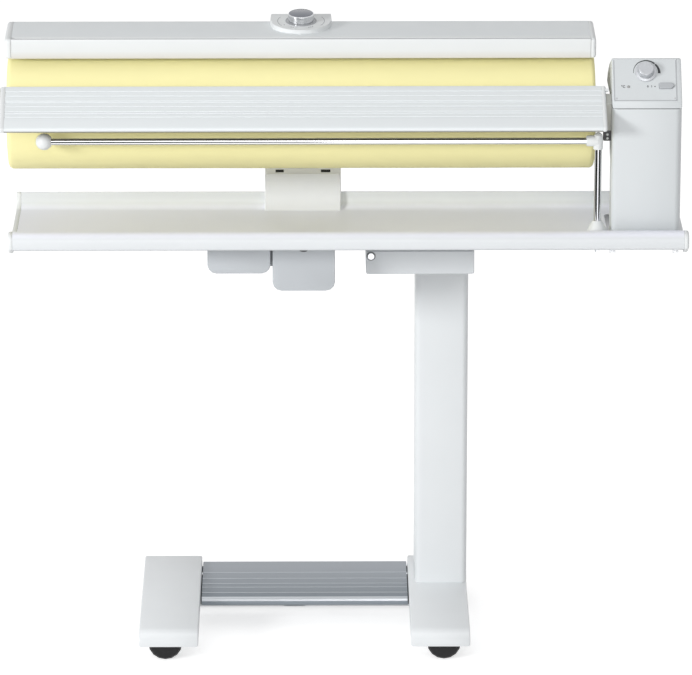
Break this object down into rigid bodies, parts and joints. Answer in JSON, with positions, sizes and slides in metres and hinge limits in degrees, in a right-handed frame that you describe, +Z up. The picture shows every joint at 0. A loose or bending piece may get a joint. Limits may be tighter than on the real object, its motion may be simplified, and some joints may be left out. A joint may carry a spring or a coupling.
{
  "type": "flatwork ironer",
  "caption": "Flatwork ironer: padded roller carried at one end, heated shoe above it, feed board, laundry bar and tray, on a fold-up column stand with pedal and castors.",
  "frame": {"origin": "centre of the footprint box on the floor", "axes": "+X along the roller towards the control tower, -Y towards the person who irons, +Z up"},
  "size_m": [0.985, 0.38, 0.959],
  "materials": {
    "white_metal": "satin white paint",
    "white_plastic": "smooth white",
    "steel": "plain steel",
    "chrome": "polished",
    "aluminium": "anodised grey",
    "shoe_aluminium": "polished",
    "dark_plastic": "dark grey",
    "black_plastic": "black",
    "grey_plastic": "grey",
    "cotton": "pale yellow cotton",
    "felt": "felt",
    "element": "heat-stained steel",
    "amber": "amber lens"
  },
  "bodies": {
    "stand": {"foot_left": "white_metal", "foot_right": "white_metal", "cross_beam": "steel", "column": "white_metal", "pivot_block": "white_metal", "fold_pin": "chrome", "pedal_switch": "dark_plastic", "pedal_axle": "chrome"},
    "pedal": {"pedal": "aluminium"},
    "head": {"chassis": "steel", "tray": "white_metal", "tray_cap_left": "white_plastic", "tray_cap_right": "white_plastic", "motor_cover": "white_plastic", "press_cover": "white_plastic", "hinge_bracket": "steel", "arm_lower_cover": "white_plastic", "gear_case": "dark_plastic", "drive_motor": "steel", "tower_front": "white_plastic", "tower_rear": "white_plastic", "cord_gland": "black_plastic", "control_cap_front": "white_plastic", "control_cap_rear": "white_plastic", "control_panel": "white_plastic", "heat_lamp": "amber", "feed_board": "aluminium", "feed_board_cap_left": "white_plastic", "feed_board_cap_right": "white_plastic", "feed_bracket": "dark_plastic", "bar_post_base": "white_plastic"},
    "roller": {"roller_core": "aluminium", "roller_padding": "felt", "roller_cover": "cotton", "roller_shaft": "steel", "roller_gear": "steel"},
    "pinion": {"motor_pinion": "steel"},
    "speed_dial": {"speed_dial": "aluminium"},
    "power_button": {"power_button": "grey_plastic"},
    "laundry_bar": {"bar_post": "chrome", "bar_elbow": "white_plastic", "laundry_bar": "chrome", "bar_ball_cap": "white_plastic"},
    "heater": {"heater_shoe": "shoe_aluminium", "heater_cover": "white_metal", "heater_cap_left": "white_plastic", "heater_cap_right": "white_plastic", "heating_element": "element", "dial_plate": "white_plastic", "heater_arm": "white_metal"},
    "temperature_knob": {"temperature_knob": "aluminium"},
    "finger_guard": {"finger_guard": "white_plastic"},
    "castor_front_left_swivel": {"castor_front_left_hood": "black_plastic"},
    "castor_front_left_roll": {"castor_front_left_wheels": "black_plastic"},
    "castor_front_right_swivel": {"castor_front_right_hood": "black_plastic"},
    "castor_front_right_roll": {"castor_front_right_wheels": "black_plastic"},
    "castor_back_left_swivel": {"castor_back_left_hood": "black_plastic"},
    "castor_back_left_roll": {"castor_back_left_wheels": "black_plastic"},
    "castor_back_right_swivel": {"castor_back_right_hood": "black_plastic"},
    "castor_back_right_roll": {"castor_back_right_wheels": "black_plastic"}
  },
  "joints": [
    {"name": "head_fold", "type": "hinge", "parent": "stand", "child": "head", "pos_m": [0.0387, 0.05, 0.6024], "axis": [0, -1, 0], "range_deg": [0, 90]},
    {"name": "pedal_press", "type": "hinge", "parent": "stand", "child": "pedal", "pos_m": [-0.059, 0.139, 0.043], "axis": [1, 0, 0], "range_deg": [0, 8], "stiffness_Nm_per_rad": 6, "springref_deg": -14.32},
    {"name": "roller_spin", "type": "hinge", "parent": "head", "child": "roller", "pos_m": [-0.062, -0.04, 0.818], "axis": [1, 0, 0], "continuous": true},
    {"name": "pinion_spin", "type": "hinge", "parent": "head", "child": "pinion", "pos_m": [0.403, -0.04, 0.7648], "axis": [1, 0, 0], "continuous": true},
    {"name": "heater_press", "type": "hinge", "parent": "head", "child": "heater", "pos_m": [-0.06, 0.075, 0.6825], "axis": [1, 0, 0], "range_deg": [0, 5], "stiffness_Nm_per_rad": 80, "springref_deg": -11.46},
    {"name": "finger_guard_swing", "type": "hinge", "parent": "heater", "child": "finger_guard", "pos_m": [-0.062, -0.0825, 0.9325], "axis": [1, 0, 0], "range_deg": [0, 5], "stiffness_Nm_per_rad": 0.6, "springref_deg": -2.86},
    {"name": "temperature_knob_turn", "type": "hinge", "parent": "heater", "child": "temperature_knob", "pos_m": [-0.06225, -0.019, 0.94454], "axis": [0, -0.1186, 0.9929], "range_deg": [0, 270]},
    {"name": "laundry_bar_swing", "type": "hinge", "parent": "head", "child": "laundry_bar", "pos_m": [0.362, -0.145, 0.72], "axis": [0, 0, 1], "range_deg": [0, 90]},
    {"name": "speed_dial_turn", "type": "hinge", "parent": "head", "child": "speed_dial", "pos_m": [0.43, -0.11787, 0.89254], "axis": [0, -0.7612, 0.6485], "range_deg": [0, 180]},
    {"name": "power_button_press", "type": "slide", "parent": "head", "child": "power_button", "axis": [0, 0.7612, -0.6485], "range_m": [0, 0.002], "stiffness_N_per_m": 400, "springref_m": -0.001},
    {"name": "castor_front_left_turn", "type": "hinge", "parent": "stand", "child": "castor_front_left_swivel", "pos_m": [-0.2585, -0.1, 0.05], "axis": [0, 0, 1], "continuous": true},
    {"name": "castor_front_left_spin", "type": "hinge", "parent": "castor_front_left_swivel", "child": "castor_front_left_roll", "pos_m": [-0.2645, -0.1, 0.025], "axis": [0, 1, 0], "continuous": true},
    {"name": "castor_front_right_turn", "type": "hinge", "parent": "stand", "child": "castor_front_right_swivel", "pos_m": [0.1405, -0.1, 0.05], "axis": [0, 0, 1], "continuous": true},
    {"name": "castor_front_right_spin", "type": "hinge", "parent": "castor_front_right_swivel", "child": "castor_front_right_roll", "pos_m": [0.1465, -0.1, 0.025], "axis": [0, 1, 0], "continuous": true},
    {"name": "castor_back_left_turn", "type": "hinge", "parent": "stand", "child": "castor_back_left_swivel", "pos_m": [-0.2585, 0.15, 0.05], "axis": [0, 0, 1], "continuous": true},
    {"name": "castor_back_left_spin", "type": "hinge", "parent": "castor_back_left_swivel", "child": "castor_back_left_roll", "pos_m": [-0.2645, 0.15, 0.025], "axis": [0, 1, 0], "continuous": true},
    {"name": "castor_back_right_turn", "type": "hinge", "parent": "stand", "child": "castor_back_right_swivel", "pos_m": [0.1405, 0.15, 0.05], "axis": [0, 0, 1], "continuous": true},
    {"name": "castor_back_right_spin", "type": "hinge", "parent": "castor_back_right_swivel", "child": "castor_back_right_roll", "pos_m": [0.1465, 0.15, 0.025], "axis": [0, 1, 0], "continuous": true}
  ],
  "couplings": [
    {"joint": "pinion_spin", "follows": "roller_spin", "ratio": -2.1667}
  ]
}
